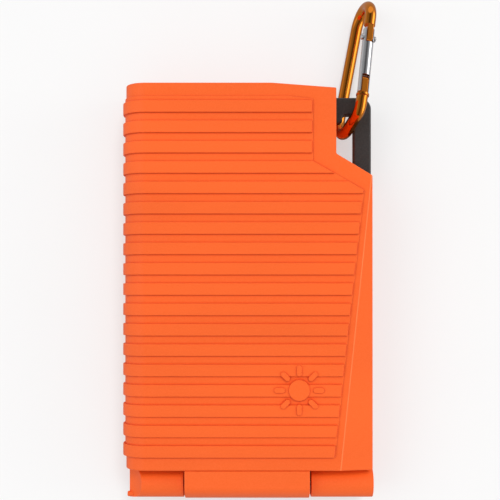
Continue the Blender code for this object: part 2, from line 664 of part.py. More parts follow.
def paint_parts():
    names = [obj.name for obj in PARTS.objects]
    slots = {
        "cover_orange": ((0.95, 0.14, 0.03), 0.6, 0.0, ("front_cover", "rear_cover", "port_flap")),
        "chassis_black": (
            (0.03, 0.03, 0.03), 0.5, 0.0, ("battery_tray", "lid_panel_frame", "base_panel_frame")
        ),
        "solar_laminate": ((0.01, 0.015, 0.05), 0.25, 0.0, ("lid_solar_panel", "base_solar_panel")),
        "cell_foil": ((0.6, 0.6, 0.62), 0.35, 1.0, ("battery_cell_left", "battery_cell_right")),
        "pad_foam": ((0.08, 0.08, 0.08), 0.9, 0.0, ("battery_pad",)),
        "board_green": ((0.02, 0.12, 0.05), 0.5, 0.0, ("control_board",)),
        "switch_black": ((0.02, 0.02, 0.02), 0.5, 0.0, ("power_switch", "switch_plunger")),
        "port_steel": ((0.6, 0.6, 0.62), 0.3, 1.0, ("usb_a_port_1", "usb_a_port_2", "usb_c_port")),
        "button_rubber": ((0.03, 0.03, 0.03), 0.6, 0.0, ("power_button",)),
        "lens_clear": ((0.8, 0.8, 0.8), 0.2, 0.0, ("indicator_lens",)),
        "magnet_nickel": ((0.6, 0.6, 0.58), 0.25, 1.0, tuple(n for n in names if "_magnet_" in n)),
        "screw_steel": ((0.5, 0.5, 0.52), 0.3, 1.0, tuple(n for n in names if "_screw_" in n)),
        "pin_steel": (
            (0.5, 0.5, 0.52), 0.3, 1.0, ("hinge_pin", "hinge_sleeve", "gate_spring", "gate_plunger")
        ),
        "lead_rubber": (
            (0.02, 0.02, 0.02), 0.6, 0.0, ("panel_lead_lid", "panel_lead_base", "battery_lead")
        ),
        "carabiner_gold": ((0.75, 0.28, 0.03), 0.15, 1.0, ("carabiner_body",)),
        "gate_silver": ((0.8, 0.8, 0.82), 0.15, 1.0, ("carabiner_gate", "carabiner_rivet")),
    }
    for name, (colour, roughness, metallic, nodes) in slots.items():
        paint(name, colour, roughness, metallic, nodes)


def hang_on(name, point, parts, parent=None):
    """Parents parts to an empty on their joint's axis."""
    empty = bpy.data.objects.new(name, None)
    empty.empty_display_size = 0.01
    PARTS.objects.link(empty)
    empty.location = Vector(point) * MM
    if parent:
        empty.parent = parent
        empty.matrix_parent_inverse = Matrix.Translation(-parent.location)
    for part in parts:
        obj = bpy.data.objects[part]
        obj.parent = empty
        obj.matrix_parent_inverse = Matrix.Translation(-empty.location)
    return empty


def main():
    clear_scene()
    front_cover()
    rear_cover()
    battery_tray()
    base_frame()
    lid_frame()
    panel("base_solar_panel", 17.7, 19.4)
    panel("lid_solar_panel", 21.6, 23.2)
    battery()
    board()
    usb_a("usb_a_port_1", USB_A_Y[0])
    usb_a("usb_a_port_2", USB_A_Y[1])
    usb_c()
    switch_and_lights()
    port_flap()
    hinge_parts()
    screws()
    magnets()
    carabiner()
    paint_parts()
    lid = ["front_cover", "lid_panel_frame", "lid_solar_panel", "panel_lead_lid"]
    lid += [obj.name for obj in PARTS.objects if obj.name.startswith(("lid_screw_", "lid_magnet_"))]
    hang_on("lid_hinge_axis", (0, AXIS_Y, AXIS_Z), lid)
    hang_on("port_flap_axis", (sum(FLAP_X) / 2, FLAP_Y[0], sum(FLAP_Z) / 2), ["port_flap"])
    hang_on("power_button_axis", (49, BUTTON_Y, BUTTON_Z), ["power_button", "switch_plunger"])
    swing = hang_on("carabiner_axis", in_plane(*SWING), ["carabiner_body", "carabiner_rivet"])
    gate = ["carabiner_gate", "gate_plunger", "gate_spring"]
    hang_on("gate_axis", in_plane(*PIVOT), gate, parent=swing)


main()
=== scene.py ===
"""Looks of the folding solar phone charger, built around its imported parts.

Lengths are millimetres until solid() turns them into metres. +X is the port side, +Y points from
the hinge to the carabiner and +Z out of the lid. The charger lies on z = 0.
"""

import json
import math

import bmesh
import bpy
from mathutils import Matrix, Vector


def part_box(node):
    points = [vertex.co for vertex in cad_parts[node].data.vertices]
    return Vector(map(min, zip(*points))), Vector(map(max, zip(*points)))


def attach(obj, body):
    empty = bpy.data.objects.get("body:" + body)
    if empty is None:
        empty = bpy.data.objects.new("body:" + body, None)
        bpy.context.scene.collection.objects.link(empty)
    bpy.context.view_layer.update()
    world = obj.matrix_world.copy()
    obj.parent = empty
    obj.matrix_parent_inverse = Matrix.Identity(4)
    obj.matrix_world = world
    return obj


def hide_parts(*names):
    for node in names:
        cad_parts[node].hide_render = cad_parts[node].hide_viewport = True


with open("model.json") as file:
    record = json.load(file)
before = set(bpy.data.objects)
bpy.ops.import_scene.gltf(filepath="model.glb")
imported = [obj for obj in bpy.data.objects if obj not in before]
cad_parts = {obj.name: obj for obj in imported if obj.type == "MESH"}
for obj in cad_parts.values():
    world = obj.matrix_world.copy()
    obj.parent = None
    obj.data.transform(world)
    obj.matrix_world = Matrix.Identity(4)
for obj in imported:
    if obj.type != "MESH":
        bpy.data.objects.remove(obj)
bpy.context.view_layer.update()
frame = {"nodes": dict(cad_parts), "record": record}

MM = 0.001


def cad_mm(node):
    """A CAD node's lowest and highest corners in millimetres."""
    low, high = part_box(node)
    return low / MM, high / MM


def cad_middle(node):
    """The middle of a CAD node's box in millimetres, as plain numbers."""
    return tuple((a + b) / 2 for a, b in zip(*cad_mm(node)))


# Outline shared by both halves, anticlockwise from the hinge end's left corner.
LEFT = -53.0
OUTLINE = [
    (LEFT, -76.0),
    (51.9, -76.0),
    (51.5, 48.2),
    (36.3, 57.4),
    (36.3, 85.1),
    (9.2, 87.15),
    (LEFT, 87.15),
]
FIELD = [(15.5, 81.5), (26.0, 80.2), (26.0, 54.2), (47.5, 42.0), (35.3, -70.1)]
SIDE_RADIUS = 9.0
WALL = 2.4
LID_TOP = 33.0
LID_RIM = 20.8
BASE_TOP = 20.2
BASE_LOW = 0.9
FACET = [(50.8, 45.8, LID_TOP), (38.2, -75.2, LID_TOP), (51.9, -76.0, 30.5)]

# The ribbed field, with the bands on both faces and the icon on the lid.
RIB_COUNT = 18
RIB_FIRST_Y = 77.03
RIB_PITCH = 8.518
RIB_WIDTH = 5.04
LID_RIB_HEIGHT = 1.35
BASE_RIB_HEIGHT = 0.9
RIB_ROUND = 0.3
RIB_ROOT = 0.7
FIELD_HEIGHT = 0.45
FIELD_ROUND = 0.22
ICON_CENTRE = (20.6, -42.0)
ICON_HEIGHT = 2.0
ICON_DISC_R = 4.4
ICON_RAY_AWAY = 8.2
ICON_RAY_SIZE = (4.6, 2.2)
RIDGE_ROUND = 0.26
ARC_STEPS = 20

# The hinge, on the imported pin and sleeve; a knuckle is its two ends in X.
PIN_LOW, PIN_HIGH = cad_mm("hinge_pin")
SLEEVE_LOW, SLEEVE_HIGH = cad_mm("hinge_sleeve")
AXIS_Y = (PIN_LOW.y + PIN_HIGH.y) / 2
AXIS_Z = (PIN_LOW.z + PIN_HIGH.z) / 2
PIN_R = (PIN_HIGH.z - PIN_LOW.z) / 2
SLEEVE_R = (SLEEVE_HIGH.z - SLEEVE_LOW.z) / 2
BARREL = 6.5
RUN = 0.05
KNUCKLES_BASE = [(-52.1, -28.5), (26.2, 52.8)]
KNUCKLE_LID = (-27.6, 25.2)
SCOOP = 0.7

# The tray, the frames and the panels: how far each stands in from the outline, and its holes.
TRAY_INSET = 2.7
TRAY_WALL = 1.5
TRAY_TOP = 14.5
POCKET_INSET = 9.5
PANEL_INSET = 9.8
WINDOW_INSET = 12.5
CASE_HOLE_R = 1.4
LID_HOLE_R = 1.2
MAGNET_SEAT_R = 3.3
LEAD_X = 37
LEAD_WAY_R = 1.25
PORT_WAY_GAP = 0.3
PORT_WAY_X = (45.5, 60)
PORT_WALL_X = (48, 56)
WINDOW_GAP = 0.4

# Cutting shapes run out to these, past the case on every side.
PAST_RIGHT = 70.0
PAST_END = 120
PAST_FACES = (-30, 60)

# Shading is sharp past this angle, and the CAD meshes' corners weld within this distance.
SHARP_DEGREES = 32
WELD_METRES = 1e-6

# What mirrors see, as (place from one side to the other, level) pairs: from left to right, and
# from front to back.
SKY_ACROSS = [(0.0, 0.8), (0.1, 0.3), (0.2, 0.27), (0.42, 0.07), (0.56, 0.1), (0.68, 0.3)]
SKY_ACROSS += [(0.8, 0.36), (0.86, 1.3), (0.93, 2.7), (1.0, 1.1)]
SKY_BACK = [(0.0, 0.0), (0.87, 0.0), (0.92, 0.85), (1.0, 0.85)]
# The sky's level on matt surfaces and in the picture, and the floor's own levels.
SKY_MATT = 0.76
SKY_SEEN = 0.95
FLOOR_ALBEDO = 0.36
FLOOR_GLOW = 0.52
FLOOR_MIRRORED = 0.36

# Each lamp's name, the direction towards it, its strength and its spread in degrees.
LAMPS = [
    ("key", (0.2, 0.42, 0.88), 1.05, 14),
    ("fill", (-0.62, 0.12, 0.78), 0.6, 40),
    ("rim", (0.93, 0.1, 0.42), 0.3, 22),
]

# The camera's height in metres, its lens and sensor in millimetres and its shift in widths.
CAMERA_HEIGHT = 0.423
CAMERA_LENS = 66.9
CAMERA_SENSOR = 36
CAMERA_SHIFT_UP = 0.08
CAMERA_NEAR = 0.01
FLOOR_REACH = 60000

# A colour Mix node's sockets for the share and the two colours, and the one for its result.
MIX_INPUTS = (0, 6, 7)
MIX_RESULT = 2

LOOKS = bpy.data.collections.new("looks")
bpy.context.scene.collection.children.link(LOOKS)


# ---------------------------------------------------------------- shapes

def solid(name, bm):
    """The bmesh as an object, its normals outwards and its millimetres made metres."""
    bmesh.ops.recalc_face_normals(bm, faces=bm.faces[:])
    bmesh.ops.scale(bm, vec=(MM, MM, MM), verts=bm.verts[:])
    mesh = bpy.data.meshes.new(name)
    bm.to_mesh(mesh)
    bm.free()
    obj = bpy.data.objects.new(name, mesh)
    LOOKS.objects.link(obj)
    return obj


def settle(obj):
    """Makes the modifiers' result the object's own mesh, and removes the shapes they used."""
    used = {m.object for m in obj.modifiers if m.type == "BOOLEAN"}
    graph = bpy.context.evaluated_depsgraph_get()
    mesh = bpy.data.meshes.new_from_object(obj.evaluated_get(graph))
    obj.modifiers.clear()
    obj.data = mesh
    for other in used:
        bpy.data.objects.remove(other, do_unlink=True)
    return obj


def boolean(target, others, operation):
    for other in others:
        modifier = target.modifiers.new(operation.lower(), "BOOLEAN")
        modifier.operation = operation
        modifier.solver = "MANIFOLD"
        modifier.object = other
    return settle(target)


def cut(target, *others):
    return boolean(target, others, "DIFFERENCE")


def join(target, *others):
    return boolean(target, others, "UNION")


def bevel(target, width, segments=3, angle=40):
    modifier = target.modifiers.new("edges", "BEVEL")
    modifier.width = width * MM
    modifier.segments = segments
    modifier.limit_method = "ANGLE"
    modifier.angle_limit = math.radians(angle)
    return settle(target)


def inset(points, distance):
    """The anticlockwise polygon with each side moved inwards."""
    moved = []
    for i in range(len(points)):
        before = Vector(points[i - 1])
        here = Vector(points[i])
        after = Vector(points[(i + 1) % len(points)])
        first = (here - before).normalized()
        second = (after - here).normalized()
        normals = Vector((-first.y - second.y, first.x + second.x))
        moved.append(tuple(here + normals * (distance / (1 + first.dot(second)))))
    return moved


def arc(centre, radius, start, end, steps):
    """Points on an arc from one angle to another, in degrees."""
    points = []
    for k in range(steps + 1):
        angle = math.radians(start + (end - start) * k / steps)
        x, y = radius * math.cos(angle), radius * math.sin(angle)
        points.append((centre[0] + x, centre[1] + y))
    return points


def circle(centre, radius, steps=48):
    return arc(centre, radius, 0, 360 - 360 / steps, steps - 1)


def pill(centre, length, width, steps=12):
    """A slot shape that is long in its first coordinate."""
    reach = (length - width) / 2
    right = arc((centre[0] + reach, centre[1]), width / 2, -90, 90, steps)
    left = arc((centre[0] - reach, centre[1]), width / 2, 90, 270, steps)
    return right + left


def add_prism(bm, points, axis, low, high):
    """Adds a polygon's prism along an axis; the points fill the other two, in X, Y, Z order."""
    rings = []
    for height in (low, high):
        ring = []
        for point in points:
            place = list(point)
            place.insert("XYZ".index(axis), height)
            ring.append(bm.verts.new(place))
        rings.append(ring)
    bm.faces.new(rings[0])
    bm.faces.new(rings[1])
    for i in range(len(points)):
        j = (i + 1) % len(points)
        bm.faces.new((rings[0][i], rings[0][j], rings[1][j], rings[1][i]))


def prism(name, points, axis, low, high):
    bm = bmesh.new()
    add_prism(bm, points, axis, low, high)
    return solid(name, bm)


def box(name, low, high):
    corners = [(low[0], low[1]), (high[0], low[1]), (high[0], high[1]), (low[0], high[1])]
    return prism(name, corners, "Z", low[2], high[2])


def add_sweep(bm, rings):
    """Skins rings of points and closes both ends."""
    made = [[bm.verts.new(p) for p in ring] for ring in rings]
    sides = len(made[0])
    for lower, upper in zip(made, made[1:]):
        for i in range(sides):
            j = (i + 1) % sides
            bm.faces.new((lower[i], lower[j], upper[j], upper[i]))
    bm.faces.new(made[0])
    bm.faces.new(made[-1])


def sweep(name, rings):
    bm = bmesh.new()
    add_sweep(bm, rings)
    bmesh.ops.triangulate(bm, faces=[f for f in bm.faces if len(f.verts) == 4])
    return solid(name, bm)


def add_tube(bm, path, radius, sides=24):
    """A round rod along 3-D points; radius is one number or one for each point."""
    points = [Vector(p) for p in path]
    radii = radius if isinstance(radius, list) else [radius] * len(points)
    tangents = []
    for i in range(len(points)):
        before = points[max(i - 1, 0)]
        after = points[min(i + 1, len(points) - 1)]
        tangents.append((after - before).normalized())
    side = tangents[0].orthogonal().normalized()
    rings = []
    for point, tangent, size in zip(points, tangents, radii):
        side = (side - tangent * side.dot(tangent)).normalized()
        up = tangent.cross(side)
        ring = []
        for k in range(sides):
            turn = 2 * math.pi * k / sides
            ring.append(point + side * (size * math.cos(turn)) + up * (size * math.sin(turn)))
        rings.append(ring)
    add_sweep(bm, rings)


def tube(name, path, radius, sides=24):
    bm = bmesh.new()
    add_tube(bm, path, radius, sides)
    return solid(name, bm)


def along_x(name, low, high, radius, y=AXIS_Y, z=AXIS_Z, sides=48):
    """A round rod along X, on the hinge's axis if nothing else is said."""
    return prism(name, circle((y, z), radius, sides), "X", low, high)


def upright(name, x, y, low, high, radius):
    """An upright round rod."""
    return prism(name, circle((x, y), radius), "Z", low, high)


def dress(obj, body, material, replaces=()):
    """Shades the finished piece, gives it its material, ties it to its body and hides the CAD
    nodes it replaces.
    """
    obj.data.shade_smooth()
    obj.data.set_sharp_from_angle(angle=math.radians(SHARP_DEGREES))
    weighted = obj.modifiers.new("normals", "WEIGHTED_NORMAL")
    weighted.keep_sharp = True
    obj.data.materials.clear()
    obj.data.materials.append(material)
    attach(obj, body)
    if replaces:
        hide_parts(*replaces)
    return obj


# ---------------------------------------------------------------- materials

def grey(level):
    """The neutral colour of a level."""
    return (level,) * 3


class Tree:
    """A node tree, with short calls for the nodes that the surfaces and the sky share."""

    def __init__(self, tree):
        self.tree = tree

    def add(self, kind, **values):
        node = self.tree.nodes.new(kind)
        for key, value in values.items():
            setattr(node, key, value)
        return node

    def link(self, source, target):
        self.tree.links.new(source, target)

    def feed(self, target, value):
        """Gives a socket another socket's value, a colour or a number."""
        if isinstance(value, bpy.types.NodeSocket):
            self.link(value, target)
        else:
            target.default_value = (*value, 1.0) if isinstance(value, tuple) else value

    def mixed(self, share, first, second, blend="MIX"):
        """A colour between two."""
        node = self.add("ShaderNodeMix", data_type="RGBA", blend_type=blend)
        for place, value in zip(MIX_INPUTS, (share, first, second)):
            self.feed(node.inputs[place], value)
        return node.outputs[MIX_RESULT]

    def maths(self, operation, first, second=0.0):
        node = self.add("ShaderNodeMath", operation=operation)
        self.feed(node.inputs[0], first)
        self.feed(node.inputs[1], second)
        return node.outputs[0]

    def ranged(self, value, low, high, to_low, to_high):
        """The value with the range from low to high carried to another, and clamped there."""
        node = self.add("ShaderNodeMapRange")
        names = ("Value", "From Min", "From Max", "To Min", "To Max")
        for name, given in zip(names, (value, low, high, to_low, to_high)):
            self.feed(node.inputs[name], given)
        return node.outputs["Result"]

    def ramp(self, value, stops):
        """A level that eases between (place, level) stops, given in ascending order."""
        node = self.add("ShaderNodeValToRGB")
        node.color_ramp.interpolation = "EASE"
        spots = node.color_ramp.elements
        spots.remove(spots[1])
        spots[0].position = stops[0][0]
        spots[0].color = (*grey(stops[0][1]), 1)
        for place, level in stops[1:]:
            spots.new(place).color = (*grey(level), 1)
        self.link(value, node.inputs["Fac"])
        return node.outputs["Color"]


class Nodes(Tree):
    """A material's node tree, with the patterns that the surfaces share."""

    def __init__(self, name):
        self.material = bpy.data.materials.new(name)
        self.material.use_nodes = True
        super().__init__(self.material.node_tree)
        self.shader = self.tree.nodes["Principled BSDF"]
        self.place = self.add("ShaderNodeTexCoord").outputs["Object"]

    def stretched(self, scale):
        """The place with each axis multiplied, for streaks."""
        mapping = self.add("ShaderNodeMapping")
        mapping.inputs["Scale"].default_value = scale
        self.link(self.place, mapping.inputs["Vector"])
        return mapping.outputs["Vector"]

    def noise(self, size_mm, detail=3.0, place=None, rough=0.5):
        """Noise whose features are about size_mm across."""
        node = self.add("ShaderNodeTexNoise")
        node.inputs["Scale"].default_value = 1 / (size_mm * MM)
        node.inputs["Detail"].default_value = detail
        node.inputs["Roughness"].default_value = rough
        self.link(place or self.place, node.inputs["Vector"])
        return node.outputs["Fac"]

    def cells(self, size_mm):
        """The node of a pattern of cells about size_mm across."""
        node = self.add("ShaderNodeTexVoronoi")
        node.inputs["Scale"].default_value = 1 / (size_mm * MM)
        self.link(self.place, node.inputs["Vector"])
        return node

    def edges(self, radius_mm):
        """1 on edges that hands rub, 0 on faces, by how far a rounded normal leans."""
        rounded = self.add("ShaderNodeBevel", samples=4)
        rounded.inputs["Radius"].default_value = radius_mm * MM
        real = self.add("ShaderNodeNewGeometry").outputs["Normal"]
        dot = self.add("ShaderNodeVectorMath", operation="DOT_PRODUCT")
        self.link(rounded.outputs["Normal"], dot.inputs[0])
        self.link(real, dot.inputs[1])
        lean = self.maths("SUBTRACT", 1.0, dot.outputs["Value"])
        return self.ranged(lean, 0.02, 0.25, 0.0, 1.0)

    def crease_shade(self, reach_mm):
        """Painted shade: up to 0.75 in the corner at the foot of a wall, 0 out on a face, by
        ambient occlusion.
        """
        corner = self.add("ShaderNodeAmbientOcclusion", samples=6, only_local=True)
        corner.inputs["Distance"].default_value = reach_mm * MM
        return self.ranged(corner.outputs["AO"], 0.45, 0.9, 0.75, 0.0)

    def ridge_highlight(self, half_mm):
        """Painted highlight: 0.9 along the ridge between the lid's face and its facet, 0 off it.
        """
        a, b = Vector(FACET[0]), Vector(FACET[1])
        away = Vector((b.y - a.y, a.x - b.x, 0)).normalized()
        dot = self.add("ShaderNodeVectorMath", operation="DOT_PRODUCT")
        self.link(self.place, dot.inputs[0])
        dot.inputs[1].default_value = away
        off = self.maths("SUBTRACT", dot.outputs["Value"], a.dot(away) * MM)
        distance = self.maths("ABSOLUTE", off)
        near = self.ranged(distance, half_mm * 0.5 * MM, half_mm * MM, 1.0, 0.0)
        axes = self.add("ShaderNodeSeparateXYZ")
        self.link(self.place, axes.inputs[0])
        top = self.ranged(axes.outputs["Z"], (LID_TOP - 0.5) * MM, (LID_TOP - 0.2) * MM, 0.0, 0.9)
        return self.maths("MULTIPLY", near, top)

    def bump(self, layers):
        """Stacks (height, depth in mm) layers into the shader's normal."""
        normal = None
        for height, depth in layers:
            node = self.add("ShaderNodeBump")
            node.inputs["Distance"].default_value = depth * MM
            self.link(height, node.inputs["Height"])
            if normal:
                self.link(normal, node.inputs["Normal"])
            normal = node.outputs["Normal"]
        self.link(normal, self.shader.inputs["Normal"])

    def set(self, **values):
        """Sets the shader's inputs, whose names are written with underscores."""
        for name, value in values.items():
            self.shader.inputs[name.replace("_", " ")].default_value = value


def plastic(name, base, worn_and_highlight, rough, grain_mm, depth, specular=0.5, wear=0.35, deep=None):
    """Moulded plastic: fine grain, flow marks, handled patches, rubbed edges, painted shade in
    corners and a painted highlight on the lid's ridge.

    The grain's depth is in millimetres. Only where deep is given is painted shade laid in that
    colour in the corners at the foot of walls, with a painted highlight along the lid's ridge.
    """
    nodes = Nodes(name)
    flow = nodes.noise(38, 2.0, nodes.stretched((0.35, 1.0, 1.0)))
    shade = nodes.ranged(flow, 0.3, 0.7, 0.0, 1.0)
    body = nodes.mixed(shade, tuple(c * 0.9 for c in base), base)
    speck = nodes.ranged(nodes.noise(grain_mm * 1.6, 2.0), 0.35, 0.75, 0.0, 0.16)
    body = nodes.mixed(speck, body, worn_and_highlight)
    if deep:
        # Painted shade: corners at the foot of each wall darken towards deep.
        body = nodes.mixed(nodes.crease_shade(1.0), body, deep)
        # Painted highlight: a light line along the ridge between the face and the facet.
        body = nodes.mixed(nodes.ridge_highlight(0.35), body, worn_and_highlight)
    handled = nodes.ranged(nodes.noise(4.5, 4.0), 0.35, 0.65, 0.1, wear)
    rub = nodes.maths("MULTIPLY", nodes.edges(0.35), handled)
    nodes.link(nodes.mixed(rub, body, worn_and_highlight), nodes.shader.inputs["Base Color"])
    patches = nodes.ranged(nodes.noise(17, 4.0), 0.3, 0.7, rough - 0.06, rough + 0.06)
    nodes.link(patches, nodes.shader.inputs["Roughness"])
    nodes.bump([(nodes.noise(grain_mm, 3.0, rough=0.6), depth), (nodes.noise(9, 2.0), 0.02)])
    nodes.set(Specular_IOR_Level=specular)
    return nodes.material


def metal(name, base, tarnish, rough, streak=(1, 1, 1), streak_mm=0.6, depth=0.002, wear=None):
    """Metal with drawing lines or polish marks, uneven gloss and rubbed edges."""
    nodes = Nodes(name)
    patch = nodes.ranged(nodes.noise(6, 4.0), 0.35, 0.7, 0.0, 0.5)
    colour = nodes.mixed(patch, base, tarnish)
    if wear:
        handled = nodes.ranged(nodes.noise(3, 4.0), 0.4, 0.65, 0.0, 0.7)
        rub = nodes.maths("MULTIPLY", nodes.edges(0.2), handled)
        colour = nodes.mixed(rub, colour, wear)
    nodes.link(colour, nodes.shader.inputs["Base Color"])
    lines = nodes.noise(streak_mm, 3.0, nodes.stretched(streak))
    gloss = nodes.ranged(lines, 0.3, 0.7, rough * 0.75, rough * 1.35)
    nodes.link(gloss, nodes.shader.inputs["Roughness"])
    nodes.bump([(lines, depth)])
    nodes.set(Metallic=1.0)
    return nodes.material


def solar_cell():
    """Dark blue silicon with its fine printed fingers, under a clear film."""
    nodes = Nodes("solar_cell")
    grain = nodes.cells(3.2).outputs["Color"]
    tone = nodes.add("ShaderNodeSeparateColor")
    nodes.link(grain, tone.inputs["Color"])
    silicon = nodes.mixed(tone.outputs[0], (0.006, 0.012, 0.045), (0.012, 0.026, 0.085))
    wave = nodes.add("ShaderNodeTexWave", bands_direction="Y", wave_profile="SIN")
    wave.inputs["Scale"].default_value = 1 / (1.6 * MM) * 0.314  # a finger every 1.6 mm
    nodes.link(nodes.place, wave.inputs["Vector"])
    finger = nodes.ranged(wave.outputs["Fac"], 0.965, 0.99, 0.0, 0.55)
    nodes.link(nodes.mixed(finger, silicon, (0.45, 0.46, 0.48)), nodes.shader.inputs["Base Color"])
    gloss = nodes.ranged(nodes.noise(12), 0.3, 0.7, 0.22, 0.34)
    nodes.link(gloss, nodes.shader.inputs["Roughness"])
    nodes.bump([(nodes.noise(0.9, 2.0), 0.012)])
    nodes.set(Coat_Weight=1.0, Coat_Roughness=0.08)
    return nodes.material


def laminate():
    """The panel's black backing with the film's dimples."""
    nodes = Nodes("laminate")
    tone = nodes.ranged(nodes.noise(20, 3.0), 0.3, 0.7, 0.0, 1.0)
    backing = nodes.mixed(tone, (0.008, 0.008, 0.01), (0.016, 0.016, 0.02))
    nodes.link(backing, nodes.shader.inputs["Base Color"])
    nodes.link(nodes.ranged(nodes.noise(7), 0.3, 0.7, 0.2, 0.32), nodes.shader.inputs["Roughness"])
    nodes.bump([(nodes.cells(0.8).outputs["Distance"], 0.02)])
    nodes.set(Coat_Weight=0.8, Coat_Roughness=0.1)
    return nodes.material


def circuit_board():
    """Green solder mask over raised copper."""
    nodes = Nodes("circuit_board")
    traces = nodes.cells(2.6)
    traces.feature = "DISTANCE_TO_EDGE"
    copper = nodes.ranged(traces.outputs["Distance"], 0.04, 0.07, 1.0, 0.0)
    mask = nodes.mixed(nodes.noise(9), (0.004, 0.05, 0.02), (0.008, 0.09, 0.035))
    nodes.link(nodes.mixed(copper, mask, (0.02, 0.16, 0.06)), nodes.shader.inputs["Base Color"])
    nodes.link(nodes.ranged(nodes.noise(3), 0.3, 0.7, 0.25, 0.4), nodes.shader.inputs["Roughness"])
    nodes.bump([(copper, 0.03)])
    return nodes.material


def milky_lens():
    """Clouded clear plastic over the lights."""
    nodes = Nodes("milky_lens")
    tone = nodes.ranged(nodes.noise(2.5, 3.0), 0.3, 0.7, 0.0, 1.0)
    milk = nodes.mixed(tone, (0.62, 0.64, 0.64), (0.78, 0.79, 0.78))
    nodes.link(milk, nodes.shader.inputs["Base Color"])
    gloss = nodes.ranged(nodes.noise(1.2), 0.3, 0.7, 0.12, 0.25)
    nodes.link(gloss, nodes.shader.inputs["Roughness"])
    nodes.bump([(nodes.noise(0.5), 0.004)])
    nodes.set(Transmission_Weight=0.3, Coat_Weight=0.4)
    return nodes.material


def materials():
    """Every surface, by the record's slot or by its own name."""
    return {
        "cover_orange": plastic(
            "cover_orange",
            (0.86, 0.114, 0.011),
            # The lighter colour marks wear, and also paints the highlight along the lid's ridge.
            (1.0, 0.2, 0.055),
            rough=0.5,
            grain_mm=0.32,
            depth=0.012,
            specular=0.35,
            wear=0.5,
            # deep: the colour of the painted shade in the corners at the foot of the bands, the
            # icon and the walls.
            deep=(0.62, 0.022, 0.0),
        ),
        "chassis_black": plastic(
            "chassis_black", (0.03, 0.027, 0.026), (0.13, 0.115, 0.105), 0.42, 0.4, 0.03
        ),
        "solar_laminate": laminate(),
        "solar_cell": solar_cell(),
        "ribbon": metal("ribbon", (0.72, 0.72, 0.74), (0.5, 0.5, 0.52), 0.3),
        "cell_foil": metal(
            "cell_foil", (0.62, 0.62, 0.64), (0.45, 0.45, 0.47), 0.36, streak_mm=2.5, depth=0.05
        ),
        "pad_foam": plastic("pad_foam", grey(0.06), grey(0.12), 0.9, 0.7, 0.2, specular=0.2),
        "board_green": circuit_board(),
        "switch_black": plastic("switch_black", grey(0.02), grey(0.08), 0.45, 0.3, 0.01),
        "port_steel": metal(
            "port_steel", (0.62, 0.62, 0.64), (0.4, 0.4, 0.42), 0.28, streak=(0.15, 1, 1)
        ),
        "contact_gold": metal("contact_gold", (0.85, 0.6, 0.22), (0.6, 0.4, 0.15), 0.22),
        "button_rubber": plastic(
            "button_rubber", grey(0.03), grey(0.09), 0.6, 0.25, 0.015, specular=0.4
        ),
        "lens_clear": milky_lens(),
        "magnet_nickel": metal("magnet_nickel", (0.66, 0.64, 0.6), (0.45, 0.43, 0.4), 0.22),
        "screw_steel": metal(
            "screw_steel", (0.52, 0.52, 0.54), (0.3, 0.29, 0.28), 0.3, wear=grey(0.8)
        ),
        "pin_steel": metal(
            "pin_steel", (0.55, 0.55, 0.57), (0.35, 0.34, 0.33), 0.25, streak=(0.2, 1, 1)
        ),
        "lead_rubber": plastic("lead_rubber", grey(0.02), grey(0.06), 0.55, 0.2, 0.01),
        "carabiner_gold": metal(
            "carabiner_gold",
            (0.88, 0.28, 0.03),
            (0.8, 0.23, 0.02),
            0.1,
            streak=(1, 0.2, 1),
            streak_mm=0.5,
            depth=0.0006,
            wear=(0.9, 0.62, 0.4),
        ),
        "gate_silver": metal(
            "gate_silver",
            (0.88, 0.88, 0.9),
            (0.74, 0.74, 0.77),
            0.12,
            streak=(1, 0.2, 1),
            streak_mm=0.5,
            depth=0.0008,
            wear=grey(0.95),
        ),
    }


# ---------------------------------------------------------------- covers

def section(shift, face_z, open_z, sense):
    """A half's X-Z outline, moved inwards: round at the long left edge."""
    centre = (LEFT + SIDE_RADIUS, face_z - sense * SIDE_RADIUS)
    points = [(LEFT + shift, open_z), (PAST_RIGHT, open_z), (PAST_RIGHT, face_z - sense * shift)]
    round_edge = arc((0, 0), SIDE_RADIUS - shift, 90, 180, ARC_STEPS)
    return points + [(centre[0] + a, centre[1] + sense * b) for a, b in round_edge]


def half_blank(name, shift, face_z, open_z, sense, facet=False):
    """A half's solid shape, moved inwards on its sides and face."""
    bm = bmesh.new()
    add_prism(bm, section(shift, face_z, open_z, sense), "Y", -PAST_END, PAST_END)
    if facet:
        a, b, c = [Vector(p) for p in FACET]
        normal = (b - a).cross(c - a).normalized()
        normal = normal if normal.z > 0 else -normal
        everything = bm.verts[:] + bm.edges[:] + bm.faces[:]
        bmesh.ops.bisect_plane(
            bm, geom=everything, plane_co=a - normal * shift, plane_no=normal, clear_outer=True
        )
        bmesh.ops.holes_fill(bm, edges=[e for e in bm.edges if e.is_boundary], sides=0)
    blank = solid(name, bm)
    limits = prism(name + "_outline", inset(OUTLINE, shift), "Z", *PAST_FACES)
    return boolean(blank, [limits], "INTERSECT")


def field_end(y):
    """Where the ribbed field ends on the right, at this height up the face."""
    for (x1, y1), (x2, y2) in zip(FIELD, FIELD[1:]):
        if y >= y2:
            return x1 + (x2 - x1) * (y1 - min(y, y1)) / (y1 - y2)
    return FIELD[-1][0]


